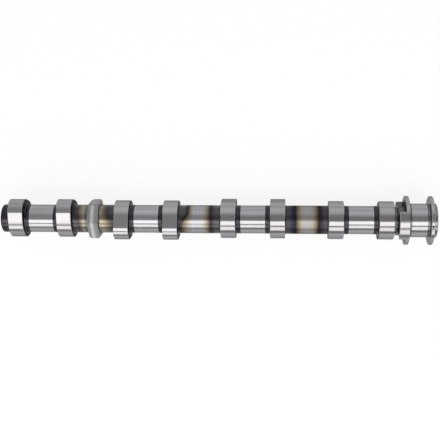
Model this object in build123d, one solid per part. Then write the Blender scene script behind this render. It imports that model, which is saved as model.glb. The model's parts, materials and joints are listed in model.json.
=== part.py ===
from build123d import *
import os
from math import acos, atan2, cos, degrees, radians, sin, tan

# A one-piece overhead camshaft for a four-cylinder engine, two lobes to a cylinder, lying on its side.
# +X runs along the shaft and out of the drive end, +Z is up, and the origin is the centre of the drive
# end's face. Angles round the shaft are in degrees from +Z towards +Y.

# Bearing journals and the raw shaft between them
journal_diameter = 25.0
grinding_allowance = 0.15
journal_land_width = 4.2
cylinder_pitch = 95.0
cylinder_count = 4

# Lobes
lobe_width = 13.3
lobe_offset = 21.87
lobe_base_radius = 16.75
lobe_lift = 4.0
lobe_nose_radius = 11.2
lobe_flank_radius = 60.0
lobe_edge_chamfer = 0.35
lobe_root_chamfer = 1.0

# Nose of cylinder 1, and how far the other noses are turned from it, in the order of the cylinders
first_nose_angle = 40.0
cylinder_turns = (0.0, -90.0, 90.0, 180.0)

# Spanner hexagon, in the middle of a bay; bay 1 is between cylinders 1 and 2
hex_across_flats = 32.0
hex_width = 11.2
hex_draft_width = 2.8
hex_draft_depth = 1.0
hex_corner_radius = 0.5
hex_root_chamfer = 0.8
hex_corner_angle = 45.0
hex_sides = 6
hex_bay_number = 1

# Drive end: nose, two collars and the thrust journal between them
nose_diameter = 30.0
nose_length = 3.6
nose_chamfer = 0.7
nose_root_radius = 0.4
collar_diameter = 43.0
collar_chamfer = 0.4
front_collar_width = 2.9
rear_collar_width = 3.1
thrust_journal_diameter = 29.8
thrust_journal_width = 18.0
undercut_width = 2.1
undercut_depth = 0.45

# Sensor ring behind the rear collar, cut away in two windows, and the neck behind it
sensor_ring_width = 5.9
sensor_window_depth = 8.9
sensor_corner_radius = 1.0
sensor_windows = ((20.0, 129.0), (219.0, 309.0))
neck_diameter = 23.2
neck_width = 3.6
neck_root_radius = 0.9

# Rear end
tail_diameter = 25.2
tail_length = 8.4
tail_chamfer = 1.5
centre_pilot_diameter = 3.2
centre_mouth_diameter = 7.5
centre_pilot_length = 7.0

# Holes of the drive end
bolt_core_diameter = 10.3
bolt_mouth_diameter = 13.0
bolt_hole_depth = 32.0
dowel_diameter = 5.0
dowel_hole_depth = 8.0
dowel_circle_radius = 10.3
dowel_angle = 40.0
dowel_mouth_chamfer = 0.4
rim_hole_diameter = 1.6
rim_hole_depth = 4.0
rim_hole_angle = -14.5

# Drills and countersinks, the overrun of cuts, and shares of the wall that a hub or root stands on
drill_point_angle = 118.0
countersink_angle = 90.0
centre_drill_angle = 60.0
cut_overrun = 2.0
hub_share = 0.5
root_wall_share = 0.8

mirror_sides = (-1, 1)


def chain_of_stations():
    """Place the faces of the drive end, rearwards from the end face, as a dictionary of X values."""
    front_collar = -nose_length
    thrust_front = front_collar - front_collar_width
    thrust_rear = thrust_front - thrust_journal_width
    ring_front = thrust_rear - rear_collar_width
    ring_rear = ring_front - sensor_ring_width
    last_lobe = ring_rear - neck_width
    return {
        "front_collar": front_collar,
        "thrust_front": thrust_front,
        "thrust_rear": thrust_rear,
        "ring_front": ring_front,
        "ring_rear": ring_rear,
        "last_lobe": last_lobe,
        "last_cylinder": last_lobe - lobe_width / 2 - lobe_offset,
    }


stations = chain_of_stations()
journal_radius = journal_diameter / 2
shaft_radius = journal_radius + grinding_allowance
journal_width = 2 * lobe_offset - lobe_width - 2 * journal_land_width
collar_radius = collar_diameter / 2
hub_radius = shaft_radius + (lobe_base_radius - shaft_radius) * hub_share
cylinder_places = [
    stations["last_cylinder"] - cylinder_pitch * (cylinder_count - number)
    for number in range(1, cylinder_count + 1)
]
rear_face = cylinder_places[0] - lobe_offset - lobe_width / 2 - tail_length
hex_place = cylinder_places[hex_bay_number - 1] + cylinder_pitch / 2


def around(radius, angle, place=0.0):
    """Return the point at a radius and an angle round the shaft, at a place along it."""
    return Vector(place, radius * sin(radians(angle)), radius * cos(radians(angle)))


def across_shaft(place):
    """Return the plane square to the shaft at a place, with its own x along +Z and its own y along +Y."""
    return Plane(origin=(place, 0, 0), x_dir=(0, 0, 1), z_dir=(-1, 0, 0))


def hub_front(place, root):
    """Return profile corners that climb from the raw shaft, up a sloped root, to the front of a hub."""
    limited = min(root, root_wall_share * (hub_radius - shaft_radius))
    return [
        (place + limited, shaft_radius, 0),
        (place, shaft_radius + limited, 0),
        (place, hub_radius, 0),
    ]


def hub_rear(place, root):
    """Return profile corners that drop from the rear of a hub, down a sloped root, to the raw shaft."""
    limited = min(root, root_wall_share * (hub_radius - shaft_radius))
    return [
        (place, hub_radius, 0),
        (place, shaft_radius + limited, 0),
        (place - limited, shaft_radius, 0),
    ]


def ground_journal(centre):
    """Return profile corners, front to rear, of a journal ground just under the raw shaft."""
    front = centre + journal_width / 2
    rear = centre - journal_width / 2
    return [
        (front, shaft_radius, 0),
        (front, journal_radius, 0),
        (rear, journal_radius, 0),
        (rear, shaft_radius, 0),
    ]


def drive_end_profile():
    """Return profile corners from the drive end's face to the neck behind the sensor ring."""
    nose_radius = nose_diameter / 2
    thrust_radius = thrust_journal_diameter / 2
    groove_radius = thrust_radius - undercut_depth
    neck_radius = neck_diameter / 2
    front_collar = stations["front_collar"]
    thrust_front = stations["thrust_front"]
    thrust_rear = stations["thrust_rear"]
    ring_rear = stations["ring_rear"]
    return [
        (0, 0, 0),
        (0, nose_radius - nose_chamfer, 0),
        (-nose_chamfer, nose_radius, 0),
        (front_collar, nose_radius, nose_root_radius),
        (front_collar, collar_radius - collar_chamfer, 0),
        (front_collar - collar_chamfer, collar_radius, 0),
        (thrust_front + collar_chamfer, collar_radius, 0),
        (thrust_front, collar_radius - collar_chamfer, 0),
        (thrust_front, groove_radius, 0),
        (thrust_front - undercut_width + undercut_depth, groove_radius, 0),
        (thrust_front - undercut_width, thrust_radius, 0),
        (thrust_rear + undercut_width, thrust_radius, 0),
        (thrust_rear + undercut_width - undercut_depth, groove_radius, 0),
        (thrust_rear, groove_radius, 0),
        (thrust_rear, collar_radius - collar_chamfer, 0),
        (thrust_rear - collar_chamfer, collar_radius, 0),
        (ring_rear + collar_chamfer, collar_radius, 0),
        (ring_rear, collar_radius - collar_chamfer, 0),
        (ring_rear, neck_radius, neck_root_radius),
        (stations["last_lobe"], neck_radius, neck_root_radius),
        (stations["last_lobe"], hub_radius, 0),
    ]


def lobe_pair_profile(centre):
    """Return profile corners between a cylinder's two lobes, whose bases are hubs of the turned shaft."""
    front_lobe_rear = centre + lobe_offset - lobe_width / 2
    rear_lobe_front = centre - lobe_offset + lobe_width / 2
    return (
        hub_rear(front_lobe_rear, lobe_root_chamfer)
        + ground_journal(centre)
        + hub_front(rear_lobe_front, lobe_root_chamfer)
    )


def bay_profile(number):
    """Return profile corners of a bay, which runs from the cylinder after it back to its own cylinder."""
    lobe_reach = lobe_offset + lobe_width / 2
    corners = hub_rear(cylinder_places[number] - lobe_reach, lobe_root_chamfer)
    if number == hex_bay_number:
        corners += hub_front(hex_place + hex_width / 2, hex_root_chamfer)
        corners += hub_rear(hex_place - hex_width / 2, hex_root_chamfer)
    return corners + hub_front(cylinder_places[number - 1] + lobe_reach, lobe_root_chamfer)


def tail_profile():
    """Return profile corners of the rear end, from the base of the first lobe to the axis."""
    tail_radius = tail_diameter / 2
    last_hub = rear_face + tail_length
    return [
        (last_hub, hub_radius, 0),
        (last_hub, tail_radius + lobe_root_chamfer, 0),
        (last_hub - lobe_root_chamfer, tail_radius, 0),
        (rear_face + tail_chamfer, tail_radius, 0),
        (rear_face, tail_radius - tail_chamfer, 0),
        (rear_face, 0, 0),
    ]


def turned_shaft():
    """Revolve the whole turned outline, from the drive end's face to the rear end, about the axis."""
    corners = drive_end_profile()
    for number in range(cylinder_count - 1, 0, -1):
        corners += lobe_pair_profile(cylinder_places[number])
        corners += bay_profile(number)
    corners += lobe_pair_profile(cylinder_places[0])
    corners += tail_profile()
    points = [(place, radius) for place, radius, _ in corners]
    rounds = [corner_radius for _, _, corner_radius in corners]
    return revolve(make_face(FilletPolyline(*points, radius=rounds, close=True)), Axis.X)


def lobe_outline(nose_angle, place):
    """Draw a lobe as four tangent arcs: base circle, nose circle and the two flanks between them."""
    nose_offset = lobe_base_radius + lobe_lift - lobe_nose_radius
    base_leg = lobe_flank_radius - lobe_base_radius
    nose_leg = lobe_flank_radius - lobe_nose_radius
    turn = acos((nose_leg**2 - nose_offset**2 - base_leg**2) / (2 * nose_offset * base_leg))

    def flank(side):
        """Return a flank's points at the nose, halfway along it and at the base circle."""
        centre = Vector(-base_leg * cos(turn), -side * base_leg * sin(turn))
        nose_turn = atan2(base_leg * sin(turn), nose_offset + base_leg * cos(turn))
        return [
            centre + lobe_flank_radius * Vector(cos(angle), side * sin(angle))
            for angle in (nose_turn, (nose_turn + turn) / 2, turn)
        ]

    upper = flank(1)
    lower = flank(-1)
    arcs = [
        ThreePointArc(lower[0], (nose_offset + lobe_nose_radius, 0), upper[0]),
        ThreePointArc(*upper),
        ThreePointArc(upper[2], (-lobe_base_radius, 0), lower[2]),
        ThreePointArc(lower[2], lower[1], lower[0]),
    ]
    return across_shaft(place) * Rot(0, 0, nose_angle) * make_face(arcs)


def lobe(nose_angle, centre):
    """Extrude a lobe to both sides of its centre plane and break its two ground edges."""
    blank = extrude(lobe_outline(nose_angle, centre), lobe_width / 2, both=True)
    ends = blank.faces().sort_by(Axis.X)
    return chamfer(ends[0].edges() + ends[-1].edges(), lobe_edge_chamfer)


def all_lobes():
    """Make the pair of like-turned lobes of every cylinder."""
    return [
        lobe(first_nose_angle + turn, centre + side * lobe_offset)
        for turn, centre in zip(cylinder_turns, cylinder_places)
        for side in mirror_sides
    ]


def spanner_hexagon():
    """Make the hexagon with a straight middle and two drafted ends, its corners slightly rounded."""
    flat = RegularPolygon(hex_across_flats / 2, hex_sides, major_radius=False)
    rounded = Rot(0, 0, hex_corner_angle) * fillet(flat.vertices(), hex_corner_radius)
    half_middle = hex_width / 2 - hex_draft_width
    draft = degrees(atan2(hex_draft_depth, hex_draft_width))
    body = across_shaft(hex_place) * extrude(rounded, half_middle, both=True)
    for side in mirror_sides:
        start = across_shaft(hex_place - side * half_middle) * rounded
        body += extrude(start, hex_draft_width, dir=(-side, 0, 0), taper=draft)
    return body


def sensor_window(start, end):
    """Make the cutter of one window of the sensor ring, between two angles, with rounded floor corners."""
    floor_radius = collar_radius - sensor_window_depth
    outer_radius = collar_radius + cut_overrun
    middle = (start + end) / 2

    def point(radius, angle):
        """Return the point at a radius and an angle in the cutter's own plane."""
        return (radius * cos(radians(angle)), radius * sin(radians(angle)))

    edges = [
        ThreePointArc(point(floor_radius, start), point(floor_radius, middle), point(floor_radius, end)),
        Line(point(floor_radius, end), point(outer_radius, end)),
        ThreePointArc(point(outer_radius, end), point(outer_radius, middle), point(outer_radius, start)),
        Line(point(outer_radius, start), point(floor_radius, start)),
    ]
    sector = make_face(edges)
    inner = [corner for corner in sector.vertices() if Vector(*corner).length < collar_radius]
    sector = fillet(inner, sensor_corner_radius)
    return extrude(across_shaft(stations["ring_front"]) * sector, sensor_ring_width + cut_overrun)


def drilled_hole(mouth, heading, diameter, depth):
    """Make a drill's cut, going from a mouth point along a heading, with its pointed end."""
    radius = diameter / 2
    point_length = radius / tan(radians(drill_point_angle / 2))
    outline = Polyline(
        (0, -cut_overrun), (radius, -cut_overrun), (radius, depth), (0, depth + point_length), close=True
    )
    return Plane(origin=mouth, z_dir=heading) * revolve(Plane.XZ * make_face(outline), Axis.Z)


def countersink(mouth, heading, mouth_diameter, included_angle):
    """Make a countersink's cut, a cone whose wide end is the mouth and that goes along a heading."""
    radius = mouth_diameter / 2
    slope = tan(radians(included_angle / 2))
    outline = Polyline(
        (0, -cut_overrun), (radius + cut_overrun * slope, -cut_overrun), (0, radius / slope), close=True
    )
    return Plane(origin=mouth, z_dir=heading) * revolve(Plane.XZ * make_face(outline), Axis.Z)


def drive_end_holes():
    """Make the cuts of the bolt's hole, the dowel's hole and the small hole in the front collar's rim."""
    rearwards = (-1, 0, 0)
    dowel_mouth = around(dowel_circle_radius, dowel_angle)
    rim_mouth = around(collar_radius, rim_hole_angle, stations["front_collar"] - front_collar_width / 2)
    inwards = -around(collar_radius, rim_hole_angle)
    return [
        drilled_hole((0, 0, 0), rearwards, bolt_core_diameter, bolt_hole_depth),
        countersink((0, 0, 0), rearwards, bolt_mouth_diameter, countersink_angle),
        drilled_hole(dowel_mouth, rearwards, dowel_diameter, dowel_hole_depth),
        countersink(dowel_mouth, rearwards, dowel_diameter + 2 * dowel_mouth_chamfer, countersink_angle),
        drilled_hole(rim_mouth, inwards, rim_hole_diameter, rim_hole_depth),
    ]


def centre_hole():
    """Make the cuts of the rear end's centre hole, on which the shaft is turned and ground."""
    mouth = (rear_face, 0, 0)
    forwards = (1, 0, 0)
    return [
        drilled_hole(mouth, forwards, centre_pilot_diameter, centre_pilot_length),
        countersink(mouth, forwards, centre_mouth_diameter, centre_drill_angle),
    ]


def camshaft():
    """Join the turned shaft, lobes and hexagon into the one piece, then cut its windows and holes."""
    body = turned_shaft() + all_lobes() + spanner_hexagon()
    body -= [sensor_window(start, end) for start, end in sensor_windows]
    body -= drive_end_holes() + centre_hole()
    return body


os.makedirs("parts", exist_ok=True)
part = camshaft()
part.label = "camshaft"
export_step(part, "parts/camshaft.step")
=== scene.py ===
"""The finished looks of a one-piece, four-cylinder overhead camshaft, lying on its side.

The whole shaft is one closed skin. Outlines square to the axis are stacked from the point of the bolt
hole in the drive end to the point of the centre hole in the rear end, and each outline holds a radius
for every direction round the shaft. Sizes are in millimetres and angles in degrees, from +Z towards
+Y, until the skin becomes a mesh in metres.
"""

import json
import logging
import math
from collections.abc import Iterable
from dataclasses import dataclass, field
from enum import Enum
from typing import Any

import bpy
import numpy as np
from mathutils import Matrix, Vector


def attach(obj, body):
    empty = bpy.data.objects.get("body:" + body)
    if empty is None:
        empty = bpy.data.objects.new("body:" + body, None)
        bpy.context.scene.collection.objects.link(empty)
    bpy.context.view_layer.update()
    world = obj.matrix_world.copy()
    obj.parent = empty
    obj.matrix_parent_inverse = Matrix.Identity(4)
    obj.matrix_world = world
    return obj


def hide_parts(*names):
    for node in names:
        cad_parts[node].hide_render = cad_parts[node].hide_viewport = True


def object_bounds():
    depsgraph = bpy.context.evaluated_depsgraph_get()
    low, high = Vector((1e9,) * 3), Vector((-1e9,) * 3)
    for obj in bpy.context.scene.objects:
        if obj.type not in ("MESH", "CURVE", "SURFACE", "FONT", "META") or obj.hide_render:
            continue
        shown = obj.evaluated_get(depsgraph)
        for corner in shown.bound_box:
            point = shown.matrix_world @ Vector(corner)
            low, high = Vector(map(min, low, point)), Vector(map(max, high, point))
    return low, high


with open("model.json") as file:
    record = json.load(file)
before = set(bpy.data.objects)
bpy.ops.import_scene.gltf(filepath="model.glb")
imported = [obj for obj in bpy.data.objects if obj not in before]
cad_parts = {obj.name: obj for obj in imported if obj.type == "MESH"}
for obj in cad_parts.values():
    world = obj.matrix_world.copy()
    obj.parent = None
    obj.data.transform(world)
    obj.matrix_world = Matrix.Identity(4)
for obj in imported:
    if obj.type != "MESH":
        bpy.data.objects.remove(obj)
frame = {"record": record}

CAD_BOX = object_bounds()
CAD_NODE = "camshaft"
CAD_BODY = "root"
METRES = 0.001
WELD_GRID = 1e-6
FULL_TURN = 360.0
SEEN_BY = ("Camera", "Glossy", "Transmission")
NOISE_DETAIL = 3.0
NOISE_ROUGHNESS = 0.6
LOG = logging.getLogger("camshaft")


def mount_place(name: str) -> float:
    """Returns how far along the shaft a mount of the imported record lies, in millimetres."""
    mounts = {mount["name"]: mount for mount in frame["record"]["mounts"]}
    return mounts[name]["pos_m"][0] / METRES


def around(place: float, radius: float, angle: float) -> tuple[float, float, float]:
    """Works out a point beside the shaft, at radius * sin a towards +Y and radius * cos a towards +Z.

    Args:
        place: How far along the shaft it is.
        radius: How far from the axis.
        angle: Its direction a, in degrees.

    Returns:
        The point, in the unit of the two lengths.
    """
    turn = math.radians(angle)
    return place, radius * math.sin(turn), radius * math.cos(turn)


class Skin(Enum):
    """Names the finishes of the shaft's skin, in the order of its material slots."""

    GROUND = 0
    LOBE = 1
    COLLAR = 2
    NOSE = 3
    SCALE = 4
    BAY_1 = 5
    BAY_2 = 6
    BAY_3 = 7
    RUBBED = 8
    DULL = 9
    TURNED = 10
    SMOKED = 11
    BORE = 12
    HOLE = 13
    WALL = 14


@dataclass(frozen=True)
class Spokes:
    """The directions round the shaft in which every outline has a point.

    Attributes:
        angles: The directions in radians, from +Z towards +Y, once round and closed.
        in_window: Whether each spoke belongs to a window of the sensor ring. At a window's wall two
            spokes share one direction, and only one of them belongs to the window.
    """

    angles: np.ndarray
    in_window: np.ndarray

    def all_round(self, radius: float) -> np.ndarray:
        """Returns the outline of a circle."""
        return np.full(self.angles.shape, radius)


@dataclass
class ShaftProfile:
    """The stack of outlines that makes the shaft's skin, from the drive end to the rear.

    Attributes:
        spokes: The directions in which the outlines have points.
        places: How far along the shaft each outline lies.
        outlines: The radii of each outline, one for each spoke.
        skins: The finish of the faces between each outline and the next.
        window_skins: The same for the faces in the windows of the sensor ring.
    """

    spokes: Spokes
    places: list[float] = field(default_factory=list)
    outlines: list[np.ndarray] = field(default_factory=list)
    skins: list[int] = field(default_factory=list)
    window_skins: list[int] = field(default_factory=list)

    def shape(self, place: float, outline: np.ndarray, skin: Skin, window: Skin | None = None) -> None:
        """Adds one outline of any shape.

        Args:
            place: How far along the shaft it lies.
            outline: Its radii, one for each spoke.
            skin: The finish of the faces from here to the next outline.
            window: The finish of those in the windows, if another.
        """
        self.places.append(place)
        self.outlines.append(outline)
        self.skins.append(skin.value)
        self.window_skins.append((window or skin).value)

    def change_skin(self, skin: Skin) -> None:
        """Gives the faces behind the last outline another finish."""
        self.skins[-1] = self.window_skins[-1] = skin.value

    def turn(self, corners: Iterable[tuple[float, float]], skin: Skin) -> None:
        """Adds round outlines, each given by its place and its radius."""
        for place, radius in corners:
            self.shape(place, self.spokes.all_round(radius), skin)


def root_round(wall: float, low: float, size: float, side: int, steps: int = 6) -> list[tuple[float, float]]:
    """Returns the corners of the hollow quarter round between the shaft and a wall.

    At an angle a from the shaft the round is at wall + side * size * (1 - sin a), and its radius is
    low + size * (1 - cos a).

    Args:
        wall: Where the wall is.
        low: The shaft's radius.
        size: The round's own radius.
        side: 1 where the shaft runs forwards from the wall, -1 where it runs rearwards.
        steps: The number of faces round it.

    Returns:
        Places and radii in the order in which the profile runs, which is rearwards.
    """
    turn = np.radians(np.linspace(0.0, 90.0, steps + 1))[::side]
    places = wall + side * size * (1.0 - np.sin(turn))
    radii = low + size * (1.0 - np.cos(turn))
    return list(zip(places.tolist(), radii.tolist()))


@dataclass(frozen=True)
class CamLobe:
    """One lobe: four tangent arcs round the shaft, with ground edges and hollow roots."""

    width: float = 13.3
    base_radius: float = 16.75
    lift: float = 4.0
    nose_radius: float = 11.2
    flank_radius: float = 60.0
    edge: float = 0.35
    root: float = 1.2

    def outline(self, spokes: Spokes, nose_angle: float, inset: float = 0.0) -> np.ndarray:
        """Works out the lobe's radius along every spoke.

        A spoke meets the nose circle, a flank circle or the base circle, whichever its angle from the
        nose lies in. It meets a circle of radius R, whose centre is d away at an angle t from the spoke,
        at d * cos(t) + sqrt(R * R - (d * sin(t)) ** 2).

        Args:
            spokes: The directions.
            nose_angle: The nose's direction, in degrees.
            inset: How far the outline is drawn in, as for a broken edge.

        Returns:
            One radius for each spoke.
        """
        nose_offset = self.base_radius + self.lift - self.nose_radius
        base_leg = self.flank_radius - self.base_radius
        nose_leg = self.flank_radius - self.nose_radius
        base_turn = math.acos(
            (nose_leg**2 - nose_offset**2 - base_leg**2) / (2.0 * nose_offset * base_leg)
        )
        nose_turn = math.atan2(
            base_leg * math.sin(base_turn), nose_offset + base_leg * math.cos(base_turn)
        )
        nose_end = math.atan2(
            (self.nose_radius - inset) * math.sin(nose_turn),
            nose_offset + (self.nose_radius - inset) * math.cos(nose_turn),
        )
        off = spokes.angles - math.radians(nose_angle)
        off = np.abs((off + math.pi) % (2.0 * math.pi) - math.pi)
        nose_root = (self.nose_radius - inset) ** 2 - (nose_offset * np.sin(off)) ** 2
        nose = nose_offset * np.cos(off) + np.sqrt(np.maximum(nose_root, 0.0))
        from_centre = off - base_turn
        flank_root = (self.flank_radius - inset) ** 2 - (base_leg * np.sin(from_centre)) ** 2
        flank = -base_leg * np.cos(from_centre) + np.sqrt(np.maximum(flank_root, 0.0))
        base = spokes.all_round(self.base_radius - inset)
        return np.select([off < nose_end, off < base_turn], [nose, flank], base)

    def add_to(
        self, profile: ShaftProfile, centre: float, nose_angle: float, low: float,
        front_root: tuple[float, float] | None = None,
    ) -> None:
        """Adds the lobe's outlines, from its front root to its rear root.

        Args:
            profile: The shaft's profile so far.
            centre: The middle of the lobe's width.
            nose_angle: The nose's direction.
            low: The radius of the shaft on both sides.
            front_root: The radius of the shaft and of the hollow round at the front, if others.
        """
        front_low, front_round = front_root or (low, self.root)
        front = centre + self.width / 2.0
        rear = centre - self.width / 2.0
        full = self.outline(profile.spokes, nose_angle)
        drawn_in = self.outline(profile.spokes, nose_angle, self.edge)
        profile.turn(root_round(front, front_low, front_round, 1), Skin.SCALE)
        profile.change_skin(Skin.WALL)
        profile.shape(front, drawn_in, Skin.LOBE)
        profile.shape(front - self.edge, full, Skin.LOBE)
        profile.shape(rear + self.edge, full, Skin.LOBE)
        profile.shape(rear, drawn_in, Skin.WALL)
        profile.turn(root_round(rear, low, self.root, -1), Skin.SCALE)


@dataclass(frozen=True)
class Journal:
    """A bearing journal, ground just under the raw shaft."""

    radius: float = 12.5
    width: float = 22.04

    def add_to(self, profile: ShaftProfile, centre: float, raw_radius: float) -> None:
        """Adds the ground band, with a sloped step up to the raw shaft at each end.

        Args:
            profile: The shaft's profile so far.
            centre: The middle of the band's width.
            raw_radius: The radius of the raw shaft.
        """
        step = raw_radius - self.radius
        front = centre + self.width / 2.0
        rear = centre - self.width / 2.0
        profile.turn([(front, raw_radius)], Skin.SCALE)
        profile.turn([(front - step, self.radius)], Skin.GROUND)
        profile.turn([(rear + step, self.radius)], Skin.SCALE)
        profile.turn([(rear, raw_radius)], Skin.SCALE)


@dataclass(frozen=True)
class SpannerHexagon:
    """The hexagon between cylinders 1 and 2, with a straight middle and two drafted ends."""

    across_flats: float = 32.0
    width: float = 9.6
    offset: float = 0.2
    front_draft: float = 1.5
    rear_draft: float = 2.8
    draft_depth: float = 1.0
    corner_radius: float = 0.5
    corner_angle: float = 45.0
    root: float = 0.6
    sides: int = 6
    # Where the painted highlight band on the flats lies, from the hexagon's middle.
    highlight_offset: float = -0.5

    @property
    def corner_reach(self) -> float:
        """How far from a corner its rounding begins.

        It is the angle between the corner and the point where the rounding touches the flat.

        Returns:
            The angle round the shaft, in degrees.
        """
        half_side = math.pi / self.sides
        apothem = self.across_flats / 2.0
        tangent = (apothem - self.corner_radius) * math.tan(half_side)
        return math.degrees(half_side - math.atan(tangent / apothem))

    def corner_spokes(self) -> np.ndarray:
        """Works out the spokes that draw the six rounded corners.

        Returns:
            Five directions to each corner, in degrees.
        """
        corners = self.corner_angle + np.arange(self.sides) * FULL_TURN / self.sides
        reach = self.corner_reach * np.array([-1.0, -0.5, 0.0, 0.5, 1.0])
        return (corners[:, None] + reach[None, :]).ravel()

    def outline(self, spokes: Spokes, inset: float = 0.0) -> np.ndarray:
        """Works out the hexagon's radius along every spoke.

        On a flat it is the half width over the cosine of the angle from the flat's middle. At a corner
        it is where the spoke meets the small circle that rounds the corner.

        Args:
            spokes: The directions.
            inset: How far the flats are drawn in, as at the end of a draft.

        Returns:
            One radius for each spoke.
        """
        side = 2.0 * math.pi / self.sides
        apothem = self.across_flats / 2.0 - inset
        off = spokes.angles - math.radians(self.corner_angle)
        off = np.abs((off + side / 2.0) % side - side / 2.0)
        flat = apothem / np.cos(side / 2.0 - off)
        centre = (apothem - self.corner_radius) / math.cos(side / 2.0)
        rounding = self.corner_radius**2 - (centre * np.sin(off)) ** 2
        corner = centre * np.cos(off) + np.sqrt(np.maximum(rounding, 0.0))
        return np.where(rounding > 0.0, np.minimum(flat, corner), flat)

    def add_to(self, profile: ShaftProfile, centre: float, low: float) -> None:
        """Adds the hexagon's outlines, from its front root to its rear root.

        Args:
            profile: The shaft's profile so far.
            centre: The middle of the hexagon's place on the shaft.
            low: The radius of the shaft on both sides.
        """
        front = centre + self.offset + self.width / 2.0
        rear = centre + self.offset - self.width / 2.0
        full = self.outline(profile.spokes)
        drawn_in = self.outline(profile.spokes, self.draft_depth)
        profile.turn(root_round(front, low, self.root, 1), Skin.SMOKED)
        profile.change_skin(Skin.DULL)
        profile.shape(front, drawn_in, Skin.DULL)
        # The straight middle of the hexagon carries the painted highlight band.
        profile.shape(front - self.front_draft, full, Skin.RUBBED)
        profile.shape(rear + self.rear_draft, full, Skin.DULL)
        profile.shape(rear, drawn_in, Skin.DULL)
        profile.turn(root_round(rear, low, self.root, -1), Skin.SMOKED)


@dataclass(frozen=True)
class BoltHole:
    """The threaded hole for the sprocket's bolt, from its drilled point out to its countersink."""

    core_radius: float = 5.15
    thread_depth: float = 0.8
    pitch: float = 1.5
    thread_start: float = -2.1
    turns: int = 12
    steps_per_turn: int = 6
    mouth_radius: float = 6.5
    depth: float = 32.0
    point_angle: float = 118.0

    def add_to(self, profile: ShaftProfile) -> None:
        """Adds the drilled point, the core and the thread, from the depth of the hole to its mouth.

        The thread's groove at a place x and a direction a is the core radius plus its depth times the
        triangle wave of x over the pitch less a over a full turn, faded out at both ends.

        Args:
            profile: The shaft's empty profile.
        """
        point = self.core_radius / math.tan(math.radians(self.point_angle / 2.0))
        thread_end = self.thread_start - self.pitch * self.turns
        profile.turn([(-self.depth - point, 0.0), (-self.depth, self.core_radius)], Skin.BORE)
        steps = self.turns * self.steps_per_turn
        turned = profile.spokes.angles / (2.0 * math.pi)
        for step in range(steps + 1):
            place = thread_end + step * self.pitch / self.steps_per_turn
            phase = (step / self.steps_per_turn - turned) % 1.0
            groove = 1.0 - np.abs(2.0 * phase - 1.0)
            fade = min(1.0, step / self.steps_per_turn, (steps - step) / self.steps_per_turn)
            profile.shape(place, self.core_radius + self.thread_depth * fade * groove, Skin.BORE)
        slope = self.mouth_radius - self.core_radius
        profile.turn([(-slope, self.core_radius), (0.0, self.mouth_radius)], Skin.TURNED)


@dataclass(frozen=True)
class SensorRing:
    """The ring behind the rear collar, cut away in two windows."""

    width: float = 5.9
    window_depth: float = 8.9
    corner_radius: float = 1.0
    windows: tuple[tuple[float, float], ...] = ((20.0, 129.0), (219.0, 309.0))
    corner_steps: int = 6
    turned_down_to: float = 18.2

    def floor_radius(self, rim: float) -> float:
        """Returns the radius of the windows' floor."""
        return rim - self.window_depth

    def corner(self, rim: float) -> tuple[np.ndarray, np.ndarray]:
        """Works out the rounded corner between a window's wall and its floor.

        The corner's circle touches the wall and the floor. At an angle a from the wall its point lies
        size * (1 - cos a) from the wall and size * sin a below the circle's centre.

        Args:
            rim: The radius of the ring's rim.

        Returns:
            Angles from the wall, in degrees and rising, and the radii there.
        """
        size = self.corner_radius
        centre = self.floor_radius(rim) + size
        off = math.asin(size / centre)
        turn = np.linspace(0.0, math.pi / 2.0 + off, self.corner_steps + 1)
        from_wall = size * (1.0 - np.cos(turn))
        outwards = centre * math.cos(off) - size * np.sin(turn)
        return np.degrees(np.arctan2(from_wall, outwards)), np.hypot(from_wall, outwards)

    def floor_outline(self, spokes: Spokes, rim: float) -> np.ndarray:
        """Works out the windows' floor with its rounded corners.

        Outside the windows the outline stays at the radius where their walls end.

        Args:
            spokes: The directions.
            rim: The radius of the ring's rim.

        Returns:
            One radius for each spoke.
        """
        angles, radii = self.corner(rim)
        degrees = np.degrees(spokes.angles) % FULL_TURN
        outline = spokes.all_round(radii[0])
        for start, end in self.windows:
            from_wall = np.minimum((degrees - start) % FULL_TURN, (end - degrees) % FULL_TURN)
            here = spokes.in_window & ((degrees - start) % FULL_TURN <= end - start + WELD_GRID)
            outline = np.where(here, np.interp(from_wall, angles, radii), outline)
        return outline

    def add_to(self, profile: ShaftProfile, front: float, rim: float, edge: float) -> None:
        """Adds the ring's outlines, from the collar's rear face to the ring's own rear face.

        Args:
            profile: The shaft's profile so far.
            front: Where the collar ends and the windows begin.
            rim: The radius of the rim.
            edge: The broken edge of the ring's rear face.
        """
        rear = front - self.width
        floor = self.floor_outline(profile.spokes, rim)
        in_window = profile.spokes.in_window
        profile.turn([(front, rim)], Skin.DULL)
        profile.shape(front, np.where(in_window, self.turned_down_to, rim), Skin.SMOKED)
        profile.shape(front, np.where(in_window, floor, rim), Skin.COLLAR, Skin.SMOKED)
        profile.shape(rear + edge, np.where(in_window, floor, rim), Skin.COLLAR, Skin.SMOKED)
        profile.shape(rear, np.where(in_window, floor, rim - edge), Skin.SCALE)
        profile.shape(rear, floor, Skin.SCALE)


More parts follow.
